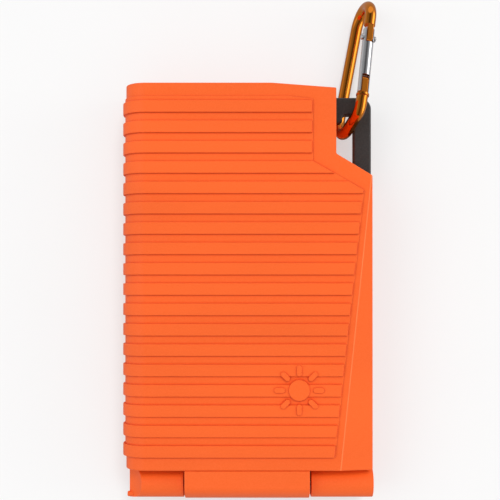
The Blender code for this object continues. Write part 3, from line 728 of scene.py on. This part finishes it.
def band(name, low, high, height, rounding, reach, face_z, side_z, sense, stops):
    """A raised band with round edges, from the rim, round the long edge, to the field's end."""
    profile = [(low, -RIB_ROOT)] + arc((low + rounding, height - rounding), rounding, 180, 90, 4)
    profile += [(y, height) for y in sorted(stops) if low + rounding < y < high - rounding]
    profile += arc((high - rounding, height - rounding), rounding, 90, 0, 4) + [(high, -RIB_ROOT)]
    centre_x = LEFT + SIDE_RADIUS
    centre_z = face_z - sense * SIDE_RADIUS
    stations = [(LEFT, side_z, -1, 0)]
    for k in range(ARC_STEPS + 1):
        angle = math.pi * (1 - 0.5 * k / ARC_STEPS)
        nx, nz = math.cos(angle), sense * math.sin(angle)
        stations.append((centre_x + SIDE_RADIUS * nx, centre_z + SIDE_RADIUS * nz, nx, nz))
    rings = []
    for x, z, nx, nz in stations:
        rings.append([(x + nx * h, y, z + nz * h) for y, h in profile])
    for k in range(5):
        angle = math.radians(90 * k / 4)
        back = rounding * (1 - math.sin(angle))
        drop = rounding * (1 - math.cos(angle))
        ring = []
        for y, h in profile:
            lowered = h - drop if h > 0 else h
            ring.append((field_end(y) + reach - back, y, face_z + sense * lowered))
        rings.append(ring)
    return sweep(name, rings)


def raised_field(height, face_z, side_z, sense):
    """The field's low plateau and its bands."""
    low = RIB_FIRST_Y - RIB_PITCH * (RIB_COUNT - 1) - RIB_WIDTH / 2
    corners = [y for _, y in FIELD]
    plate = (low + 0.25, FIELD[0][1], FIELD_HEIGHT, FIELD_ROUND, 0.5)
    made = [band("field", *plate, face_z, side_z, sense, corners)]
    for i in range(RIB_COUNT):
        middle = RIB_FIRST_Y - RIB_PITCH * i
        limits = (middle - RIB_WIDTH / 2, middle + RIB_WIDTH / 2)
        made.append(
            band(f"band_{i}", *limits, height, RIB_ROUND, 0.0, face_z, side_z, sense, corners)
        )
    return made


def sun_icon(centre, base_z, top_z):
    """A disc and eight rays round it."""
    disc = prism("sun_disc", circle(centre, ICON_DISC_R, 64), "Z", base_z, top_z)
    made = [bevel(disc, 0.2, 3, 60)]
    for k in range(8):
        turn = Matrix.Rotation(math.radians(45 * k), 2)
        ray = [turn @ Vector(p) for p in pill((ICON_RAY_AWAY, 0), *ICON_RAY_SIZE, 10)]
        outline = [(centre[0] + p.x, centre[1] + p.y) for p in ray]
        made.append(bevel(prism(f"sun_ray_{k}", outline, "Z", base_z, top_z), 0.2, 3, 60))
    return made


def lid_knuckle():
    """The lid's barrel, with the web that runs up to the lid's face."""
    points = [(-74.8, LID_RIM + 0.2), (-76.4, LID_RIM + 0.2)]
    points += arc((AXIS_Y, AXIS_Z), BARREL, 0, -180, 40)
    for k in range(1, 25):
        angle = math.radians(90 * k / 24)
        points.append((AXIS_Y - BARREL * math.cos(angle), AXIS_Z + 12.5 * math.sin(angle)))
    points += [(-76.25, LID_TOP), (-75.95, 32.5), (-74.8, 32.5)]
    return bevel(prism("lid_knuckle", points, "X", *KNUCKLE_LID), 0.3, 3, 60)


def base_knuckle(name, low, high):
    """A barrel of the base, with the round foot under it."""
    points = [(-74.8, BASE_TOP - 0.2), (-74.8, BASE_LOW + 0.2), (-85.9, BASE_LOW + 0.2)]
    points += arc((-85.9, 4.6), 3.5, -90, -180, 12)[1:]
    points += arc((AXIS_Y, AXIS_Z), BARREL, 180, 0, 40)
    points += [(-76.4, BASE_TOP - 0.2)]
    return prism(name, points, "X", low, high)


def base_knuckles():
    """Both base knuckles; the left one's outer end is scooped down to its side, with a lip."""
    left = KNUCKLES_BASE[0][0]
    crest, foot = Vector((left + 5.9, AXIS_Z + BARREL + 0.1)), Vector((left, AXIS_Z - 0.1))
    inwards = Vector((crest.y - foot.y, foot.x - crest.x)).normalized()
    limits = []
    for k in range(13):
        t = k / 12
        limits.append(tuple(crest.lerp(foot, t) + inwards * SCOOP * 4 * t * (1 - t)))
    limits += [(left, -5.0), (0.0, -5.0), (0.0, 28.0), (crest.x, 28.0)]
    first = base_knuckle("base_knuckle_0", *KNUCKLES_BASE[0])
    second = base_knuckle("base_knuckle_1", *KNUCKLES_BASE[1])
    boolean(first, [prism("left_end_limits", limits, "Y", -PAST_END, 0)], "INTERSECT")
    lip = along_x("left_end_lip", left - 0.85, left + 1.9, 1.15, AXIS_Y - 5.2, AXIS_Z + 0.1)
    bevel(first, 0.3, 3, 60)
    join(first, bevel(lip, 0.35, 4, 60))
    return [first, bevel(second, 0.3, 3, 60)]


def ridge_bead():
    """A fine raised line where the lid's face meets its facet."""
    a, b = Vector(FACET[0]), Vector(FACET[1])
    way = (b - a).normalized()
    sunk = Vector((0, 0, RIDGE_ROUND * 0.45))
    return tube("ridge", [a - way * 1.0 - sunk, b + way * 0.2 - sunk], RIDGE_ROUND, 20)


def lid_cover(looks):
    """The lid's shell: bands, icon and knuckle, bored for the hinge and the lead."""
    cover = bevel(half_blank("lid_cover", 0.0, LID_TOP, LID_RIM, 1, facet=True), 0.8, 4)
    field = raised_field(LID_RIB_HEIGHT, LID_TOP, LID_RIM + 0.5, 1)
    join(cover, lid_knuckle(), ridge_bead(), *field)
    join(cover, *sun_icon(ICON_CENTRE, LID_TOP - 0.5, LID_TOP + ICON_HEIGHT))
    cut(cover, half_blank("lid_cavity", WALL, LID_TOP, 10.0, 1, facet=True))
    rise = [(0, AXIS_Y - 0.6, AXIS_Z - 0.6), (0, -76.0, 27.6), (0, -71.5, 28.3)]
    cut(
        cover,
        along_x("lid_pin_bore", -40, -9.4, PIN_R + RUN),
        along_x("lid_sleeve_bore", 9.4, 40, SLEEVE_R + RUN),
        tube("lid_lead_way", [(12, AXIS_Y, AXIS_Z), (0, AXIS_Y, AXIS_Z)], 1.3),
        tube("lid_lead_rise", rise, LEAD_WAY_R),
    )
    dress(cover, "lid", looks["cover_orange"], ["front_cover"])


def base_cover(looks):
    """The base's shell, with its bands and knuckles, and the openings for the small parts."""
    cover = bevel(half_blank("base_cover", 0.0, BASE_LOW, BASE_TOP, -1), 0.8, 4)
    join(cover, *base_knuckles(), *raised_field(BASE_RIB_HEIGHT, BASE_LOW, BASE_TOP - 0.5, -1))
    cut(cover, half_blank("base_cavity", WALL, BASE_LOW, 30.0, -1))
    for i in range(4):
        x, y, _ = cad_middle(f"case_screw_{i + 1}")
        recess = upright("rear_recess", x, y, -1, 2.0, 2.8)
        cut(cover, recess, upright("rear_hole", x, y, -1, 6, CASE_HOLE_R))
    inner, outer = PORT_WALL_X
    low, high = cad_mm("port_flap")
    window_low = (inner, low.y - WINDOW_GAP, low.z - WINDOW_GAP)
    window_high = (outer, high.y + WINDOW_GAP, high.z + WINDOW_GAP)
    hole = pill(cad_middle("power_button")[1:], 9.8, 5.8)
    cut(
        cover,
        box("bar_notch", (33.0, 72.7, 10.2), (37.0, 84.5, 16.8)),
        box("bar_notch_top", (33.0, 74.3, 13.2), (37.0, 82.9, 25)),
        box("leg_notch", (45.0, 44.0, 10.2), (48.9, 54.0, 25)),
        box("port_window", window_low, window_high),
        prism("button_hole", hole, "X", inner, outer),
        along_x("base_pin_bore", -49.6, -20, PIN_R + RUN),
        along_x("base_sleeve_bore", 20, 34.6, SLEEVE_R + RUN),
    )
    low, high = cad_mm("indicator_lens")
    for i in range(4):
        y = low.y + 1.3 + (high.y - low.y - 2.6) * i / 3
        cut(cover, along_x("light_hole", inner, outer, 1.2, y, (low.z + high.z) / 2))
    fall = [(AXIS_Y - 0.5, AXIS_Z + 0.7), (-77.5, 11.9), (-75.3, 10.7), (-71, 10.5)]
    cut(cover, tube("base_lead_fall", [(LEAD_X, y, z) for y, z in fall], LEAD_WAY_R))
    dress(cover, "base", looks["cover_orange"], ["rear_cover"])


def port_flap(looks):
    """The flap over the ports: round where it turns, with a finger lip at its other edge."""
    low, high = cad_mm("port_flap")
    outer = high.x - 0.5
    half = (outer - low.x) / 2
    points = arc((low.x + half, low.y + half), half, 180, 360, 16)
    points += [(outer, high.y - 3.0), (outer + 0.2, high.y - 2.75), (outer + 0.5, high.y - 2.3)]
    points += arc((outer + 0.1, high.y - 0.4), 0.4, 0, 90, 5) + [(low.x, high.y)]
    flap = bevel(prism("flap_cover", points, "Z", low.z, high.z), 0.3, 3, 50)
    dress(flap, "flap", looks["cover_orange"], ["port_flap"])


# ---------------------------------------------------------------- chassis, frames and panels

def port_way(name, node):
    """The clearance round a port, out through the port side."""
    low, high = cad_mm(node)
    inner, outer = PORT_WAY_X
    gap = PORT_WAY_GAP
    return box(name, (inner, low.y - gap, low.z - gap), (outer, high.y + gap, high.z + gap))


def loop_outline():
    """The loop's bar, its leg and the hook at the leg's end."""
    points = [(33.0, 73.0), (39.6, 73.0), (40.5, 74.0), (40.5, 75.6), (41.5, 76.6), (43.6, 76.6)]
    points += [(45.3, 74.9), (45.3, 46.0), (48.6, 46.0), (48.6, 50.4), (51.6, 48.8), (53.0, 49.6)]
    points += arc((48.0, 79.2), 5.0, 0, 90, 14)
    return points + [(33.0, 84.2)]


def chassis(looks):
    """The black tray round the battery, with the loop that stands out at the cut corner."""
    tray = half_blank("chassis", TRAY_INSET, BASE_LOW - 0.2, TRAY_TOP, -1)
    cut(tray, half_blank("tray_cavity", TRAY_INSET + TRAY_WALL, BASE_LOW - 0.2, 30.0, -1))
    loop = bevel(prism("loop", loop_outline(), "Z", 10.5, 16.5), 1.1, 4, 50)
    root = [(45.4, 49.45), (48.4, 47.6), (48.4, 49.9), (45.4, 51.7)]
    join(
        tray,
        loop,
        bevel(box("bar_root", (33.95, 74.6, 13.0), (36.1, 82.6, 19.9)), 0.3),
        prism("leg_root", root, "Z", 13.0, 19.9),
    )
    for i in range(2):
        cut(tray, port_way("port_way", f"usb_a_port_{i + 1}"))
    inner, outer = PORT_WAY_X
    cut(
        tray,
        port_way("port_c_way", "usb_c_port"),
        box("button_way", (inner, 15.4, 6.0), (outer, 28.6, TRAY_TOP + 2)),
        box("light_way", (inner, 31.8, 8.1), (outer, 44.2, 11.9)),
        tube("tray_lead_hole", [(LEAD_X, -76, 10.5), (LEAD_X, -70, 10.5)], LEAD_WAY_R),
    )
    for i in range(4):
        x, y, _ = cad_middle(f"case_screw_{i + 1}")
        cut(tray, upright("tray_hole", x, y, 2, 6, CASE_HOLE_R))
    dress(tray, "base", looks["chassis_black"], ["battery_tray"])


def bezel(name, low, high, pocket_low, pocket_high):
    """A panel's frame: a plate of the case's outline with a window and the panel's pocket."""
    ring = bevel(prism(name, inset(OUTLINE, TRAY_INSET), "Z", low, high), 0.5, 3)
    cut(ring, prism("pocket", inset(OUTLINE, POCKET_INSET), "Z", pocket_low, pocket_high))
    return cut(ring, prism("window", inset(OUTLINE, WINDOW_INSET), "Z", low - 5, high + 5))


def magnet_seats(ring, body, low, high):
    """Sinks the seats of a half's two magnets into its frame."""
    for i in range(2):
        x, y, _ = cad_middle(f"{body}_magnet_{i + 1}")
        cut(ring, upright("magnet_seat", x, y, low, high, MAGNET_SEAT_R))


def bezels(looks):
    """Both panel frames, each bored for its screws and magnets."""
    ring = bezel("base_bezel", 14.8, 20.05, 17.4, 25)
    cut(ring, box("bar_relief", (32.6, 72.6, 10), (36.0, 84.6, 16.9)))
    cut(ring, box("leg_relief", (44.9, 44.0, 10), (49.0, 50.0, 16.9)))
    for i in range(4):
        x, y, _ = cad_middle(f"case_screw_{i + 1}")
        join(ring, upright("case_boss", x, y, 5.2, 15.5, 2.6))
        cut(ring, upright("case_bore", x, y, 4, 13.5, CASE_HOLE_R))
    magnet_seats(ring, "base", 10, 18.6)
    dress(ring, "base", looks["chassis_black"], ["base_panel_frame"])
    ring = bezel("lid_bezel", 20.95, 25.2, 15, 23.5)
    for i in range(4):
        x, y, _ = cad_middle(f"lid_screw_{i + 1}")
        recess = upright("lid_recess", x, y, 18, 22.7, 2.1)
        cut(ring, recess, upright("lid_hole", x, y, 18, 30, LID_HOLE_R))
    magnet_seats(ring, "lid", 22.4, 30)
    dress(ring, "lid", looks["chassis_black"], ["lid_panel_frame"])


def inside(points, x, y):
    """Whether a point lies inside the outline, by the sides that a line from it crosses."""
    found = False
    for i in range(len(points)):
        (x1, y1), (x2, y2) = points[i - 1], points[i]
        if (y1 > y) != (y2 > y) and x < x1 + (x2 - x1) * (y - y1) / (y2 - y1):
            found = not found
    return found


def panel(body, sense, looks):
    """A laminated panel: rows of cells with soldered ribbons on a black backing."""
    columns, rows, gap, margin, film = 3, 12, 1.0, 1.6, 0.25
    root, cell_under, ribbon_under, ribbon_half = 0.3, 0.12, 0.06, 0.45
    name, node = f"{body}_panel", f"{body}_solar_panel"
    low, high = cad_mm(node)
    face = high.z if sense > 0 else low.z
    cell_z = sorted((face - sense * root, face - sense * cell_under))
    ribbon_z = sorted((face - sense * root, face - sense * ribbon_under))
    slab = bevel(prism(name, inset(OUTLINE, PANEL_INSET), "Z", low.z, high.z - film), 0.2, 2)
    if sense < 0:
        slab.data.transform(Matrix.Translation((0, 0, film * MM)))
    dress(slab, body, looks["solar_laminate"], [node])
    edge = inset(OUTLINE, PANEL_INSET + margin)
    left, bottom = edge[0]
    width = (edge[1][0] - left) / columns
    height = (edge[-1][1] - bottom) / rows
    tiles, ribbons = bmesh.new(), bmesh.new()
    for column in range(columns):
        for row in range(rows):
            x, y = left + column * width, bottom + row * height
            x1, y1 = x + gap / 2, y + gap / 2
            x2, y2 = x + width - gap / 2, y + height - gap / 2
            if not (inside(edge, x2, y1) and inside(edge, x2, y2)):
                continue
            add_prism(tiles, [(x1, y1), (x2, y1), (x2, y2), (x1, y2)], "Z", *cell_z)
            for share in (0.27, 0.73):
                middle = x + width * share
                x3, x4 = middle - ribbon_half, middle + ribbon_half
                y3, y4 = y - 0.3, y + height - 0.9
                add_prism(ribbons, [(x3, y3), (x4, y3), (x4, y4), (x3, y4)], "Z", *ribbon_z)
    cells = bevel(solid(name + "_cells", tiles), 0.05, 1)
    dress(cells, body, looks["solar_cell"])
    dress(solid(name + "_ribbons", ribbons), body, looks["ribbon"])


# ---------------------------------------------------------------- carabiner

# The carabiner's plane: a place on the spine, the way along the spine, the way across, which
# leans off upright, and the normal. Places in the plane are (along, across) from that place.
SPINE = Vector((42.56, 87.8, 2.5))
S_AXIS = Vector((0.1857, 0.9826, 0.0)).normalized()
LEAN = math.radians(14.07)
W_AXIS = Vector((S_AXIS.y, -S_AXIS.x, 0.0)) * math.sin(LEAN) + Vector((0, 0, math.cos(LEAN)))
N_AXIS = S_AXIS.cross(W_AXIS)
ROD = 2.5
GATE_R = 2.45
PIVOT = Vector((22.5, 18.65))
NOSE = Vector((-3.3, 25.3))
GATE_WAY = (NOSE - PIVOT).normalized()


def in_plane(s, w, n=0.0):
    """A point of the carabiner's plane, n off it."""
    return SPINE + S_AXIS * s + W_AXIS * w + N_AXIS * n


def gate_point(distance):
    """A point on the gate's axis, this far from the pivot towards the nose."""
    return PIVOT + GATE_WAY * distance


def flat_bar(name, start, end, half_w, half_n, rounded=0):
    """A flat bar of the carabiner's plane, with a round end if asked."""
    along = (end - start).normalized()
    across = Vector((-along.y, along.x))
    outline = [start + across * half_w, start - across * half_w]
    if rounded:
        base = math.degrees(math.atan2(along.y, along.x))
        outline += [Vector(p) for p in arc(end, half_w, base - 90, base + 90, rounded)]
    else:
        outline += [end - across * half_w, end + across * half_w]
    bm = bmesh.new()
    add_sweep(bm, [[in_plane(p.x, p.y, n) for p in outline] for n in (-half_n, half_n)])
    return solid(name, bm)


def along_gate(name, stations, sides=48):
    """A turned piece on the gate's axis, from (distance, radius) pairs."""
    path = [in_plane(*gate_point(d)) for d, _ in stations]
    return tube(name, path, [r for _, r in stations], sides)


def rod_line():
    """The rod's centre line, from its nose round the wide end, the spine and the narrow end."""
    slope = math.degrees(math.atan2(NOSE.y - PIVOT.y, PIVOT.x - NOSE.x))
    line = [(-4.0, 25.35)]
    line += arc((-7.2, 19.6), 6.0, 75, 135, 14)
    line += arc((-9.2, 9.5), 9.5, 135, 270, 40)[1:]
    line += [(s, 0.0) for s in (0.0, 10.0, 20.0)]
    line += arc((30.2, 8.3), 8.3, 270, 450 - slope, 44)
    line += [(28.4, 17.1)]
    return line


def carabiner(looks):
    """The bent rod with its gate, and the rivet that the gate turns on."""
    body = tube("carabiner_rod", [in_plane(s, w) for s, w in rod_line()], ROD, 48)
    turned = [(26.3, 2.3), (26.45, 2.65), (26.6, 2.8), (27.4, 2.8), (27.6, 2.6)]
    collar = along_gate("nose_collar", turned)
    nose = flat_bar("nose_tongue", gate_point(28.5), gate_point(20.4), 1.9, 1.4, 16)
    pivot = flat_bar("pivot_tongue", gate_point(-6.8), gate_point(0), 2.2, 1.3, 20)
    join(body, collar, bevel(nose, 0.25, 3, 50), bevel(pivot, 0.25, 3, 50))
    rivet_way = [in_plane(*PIVOT, n) for n in (-6, 6)]
    cut(body, tube("body_rivet_bore", rivet_way, 0.95, 32))
    dress(body, "carabiner", looks["carabiner_gold"], ["carabiner_body"])
    ends = [(-4.6, 2.0), (-4.45, 2.2), (-4.2, 2.35), (-3.9, GATE_R)]
    ends += [(25.5, GATE_R), (25.75, 2.38), (25.9, 2.2)]
    gate = along_gate("gate_barrel", ends)
    cut(
        gate,
        flat_bar("pivot_slot", gate_point(-8), gate_point(2.7), 5, 1.6),
        flat_bar("nose_slot", gate_point(30), gate_point(18.1), 5, 1.7),
        tube("gate_rivet_bore", rivet_way, 0.98, 32),
        along_gate("gate_spring_bore", [(1.0, 1.3), (13.0, 1.3)], 32),
    )
    dress(gate, "gate", looks["gate_silver"], ["carabiner_gate"])
    half = [(3.45, 0.5), (3.4, 0.85), (3.25, 1.15), (3.05, 1.33), (2.65, 1.35), (2.55, 0.9)]
    heads = [(-n, r) for n, r in half] + half[::-1]
    rivet = tube("gate_rivet", [in_plane(*PIVOT, n) for n, _ in heads], [r for _, r in heads], 40)
    dress(rivet, "carabiner", looks["gate_silver"], ["carabiner_rivet"])


# ---------------------------------------------------------------- small parts

def screws(looks):
    """Pan heads with a cross recess, over the plain CAD screws."""
    flat_r, dome, head, taper, hair = 1.0, 0.55, 1.15, 0.8, 0.0001
    arm, half_slot, deep = 1.2, 0.28, 0.6
    for prefix, body, head_r, shank_r in (
        ("case_screw_", "base", 2.4, 1.05),
        ("lid_screw_", "lid", 1.8, 0.9),
    ):
        for i in range(4):
            node = f"{prefix}{i + 1}"
            x, y, _ = cad_middle(node)
            face, tip = [corner.z for corner in cad_mm(node)]
            turned = [(face, 0.55), (face, flat_r)]
            for a in (0.4, 0.8, 1.2, 1.57):
                radius = flat_r + (head_r - flat_r) * math.sin(a)
                turned.append((face + dome * (1 - math.cos(a)), radius))
            turned += [(face + head, head_r), (face + head, shank_r)]
            turned += [(tip - taper, shank_r), (tip, shank_r * 0.4)]
            # Rings at one height stand a hair apart, so that the path keeps its direction.
            way = [(x, y, z + hair * k) for k, (z, _) in enumerate(turned)]
            screw = tube(node + "_turned", way, [r for _, r in turned], 40)
            cross = []
            for dx, dy in ((arm, half_slot), (half_slot, arm)):
                low, high = (x - dx, y - dy, face - 1), (x + dx, y + dy, face + deep)
                cross.append(box("slot", low, high))
            cut(screw, *cross)
            dress(screw, body, looks["screw_steel"], [node])


def button(looks):
    """A soft cap with a moulded ring, on a flange and a stem."""
    low, high = cad_mm("power_button")
    y, z = cad_middle("power_button")[1:]
    cap = prism("button_cap", pill((y, z), 9.0, 5.0, 16), "X", low.x + 1.9, high.x)
    bevel(cap, 0.45, 4, 50)
    flange = prism("button_flange", pill((y, z), 12.0, 8.0, 16), "X", low.x + 1.4, low.x + 2.1)
    join(cap, flange, along_x("button_stem", low.x, low.x + 1.6, 1.0, y, z, 32))
    ring = prism("button_ring", circle((y, z), 1.3, 40), "X", high.x - 0.25, high.x + 1)
    island = prism("button_island", circle((y, z), 0.9, 40), "X", high.x - 1, high.x + 2)
    cut(cap, cut(ring, island))
    dress(cap, "button", looks["button_rubber"], ["power_button"])


def contacts(looks):
    """Gold contact strips on the tongues of the two wide ports."""
    under, over = 10.82, 10.99
    for i in range(2):
        node = f"usb_a_port_{i + 1}"
        front, middle = cad_mm(node)[1].x, cad_middle(node)[1]
        outline = [(front - 7.0, under), (front - 1.4, under), (front - 1.0, over)]
        outline.append((front - 7.0, over))
        bm = bmesh.new()
        for k in range(4):
            y = middle + (k - 1.5) * 2.4
            add_prism(bm, outline, "Y", y - 0.5, y + 0.5)
        dress(solid(f"port_contacts_{i + 1}", bm), "base", looks["contact_gold"])


def paint_rest(looks):
    """Gives every CAD node that still shows its material, and welds its doubled corners."""
    slots = {row["node"]: row["material_slot"] for row in frame["record"]["subparts"]}
    for node, obj in frame["nodes"].items():
        if obj.hide_render:
            continue
        obj.data.materials.clear()
        obj.data.materials.append(looks[slots[node]])
        weld = obj.modifiers.new("weld", "WELD")
        weld.merge_threshold = WELD_METRES


# ---------------------------------------------------------------- studio

def sky(world):
    """Even pale light on matt surfaces, and for mirrors a dim room with bright screens."""
    world.use_nodes = True
    tree = Tree(world.node_tree)
    axes = tree.add("ShaderNodeSeparateXYZ")
    tree.link(tree.add("ShaderNodeTexCoord").outputs["Generated"], axes.inputs[0])
    across = tree.ramp(tree.ranged(axes.outputs["X"], -1.0, 1.0, 0.0, 1.0), SKY_ACROSS)
    back = tree.ramp(tree.ranged(axes.outputs["Y"], -1.0, 1.0, 0.0, 1.0), SKY_BACK)
    ray = tree.add("ShaderNodeLightPath")
    mirrored = tree.mixed(1.0, across, back, "LIGHTEN")
    lit = tree.mixed(ray.outputs["Is Glossy Ray"], grey(SKY_MATT), mirrored)
    shown = tree.mixed(ray.outputs["Is Camera Ray"], lit, grey(SKY_SEEN))
    tree.link(shown, tree.tree.nodes["Background"].inputs["Color"])


def sun(name, towards, strength, spread):
    """A soft lamp, far off in the direction towards, that mirrors do not see."""
    light = bpy.data.lights.new(name, "SUN")
    light.energy = strength
    light.angle = math.radians(spread)
    obj = bpy.data.objects.new(name, light)
    bpy.context.scene.collection.objects.link(obj)
    obj.rotation_euler = Vector(towards).to_track_quat("Z", "Y").to_euler()
    obj.visible_glossy = False


def floor():
    """A wide sheet of plain paper that fills the picture and shows darker in mirrors."""
    bm = bmesh.new()
    bmesh.ops.create_grid(bm, x_segments=1, y_segments=1, size=FLOOR_REACH)
    ground = solid("floor", bm)
    paper = Nodes("paper")
    mirrored = paper.add("ShaderNodeLightPath").outputs["Is Glossy Ray"]
    tone = paper.mixed(paper.noise(60, 3), grey(FLOOR_ALBEDO - 0.005), grey(FLOOR_ALBEDO + 0.005))
    tone = paper.mixed(mirrored, tone, grey(FLOOR_MIRRORED))
    paper.link(tone, paper.shader.inputs["Base Color"])
    glow = paper.mixed(mirrored, grey(FLOOR_GLOW), grey(0.0))
    paper.link(glow, paper.shader.inputs["Emission Color"])
    paper.set(Roughness=0.9, Specular_IOR_Level=0.1, Emission_Strength=1.0)
    ground.data.materials.append(paper.material)


def studio():
    """The floor, the sky, the lamps and a camera straight above."""
    scene = bpy.context.scene
    scene.view_settings.view_transform = "Standard"
    camera = bpy.data.cameras.new("camera")
    view = bpy.data.objects.new("camera", camera)
    scene.collection.objects.link(view)
    scene.camera = view
    view.location = (0, 0, CAMERA_HEIGHT)
    camera.lens = CAMERA_LENS
    camera.sensor_width = CAMERA_SENSOR
    camera.shift_y = CAMERA_SHIFT_UP
    camera.clip_start = CAMERA_NEAR
    floor()
    scene.world = bpy.data.worlds.new("studio")
    sky(scene.world)
    for lamp in LAMPS:
        sun(*lamp)


def main():
    looks = materials()
    lid_cover(looks)
    base_cover(looks)
    port_flap(looks)
    chassis(looks)
    bezels(looks)
    panel("base", 1, looks)
    panel("lid", -1, looks)
    carabiner(looks)
    screws(looks)
    button(looks)
    contacts(looks)
    paint_rest(looks)
    studio()


main()
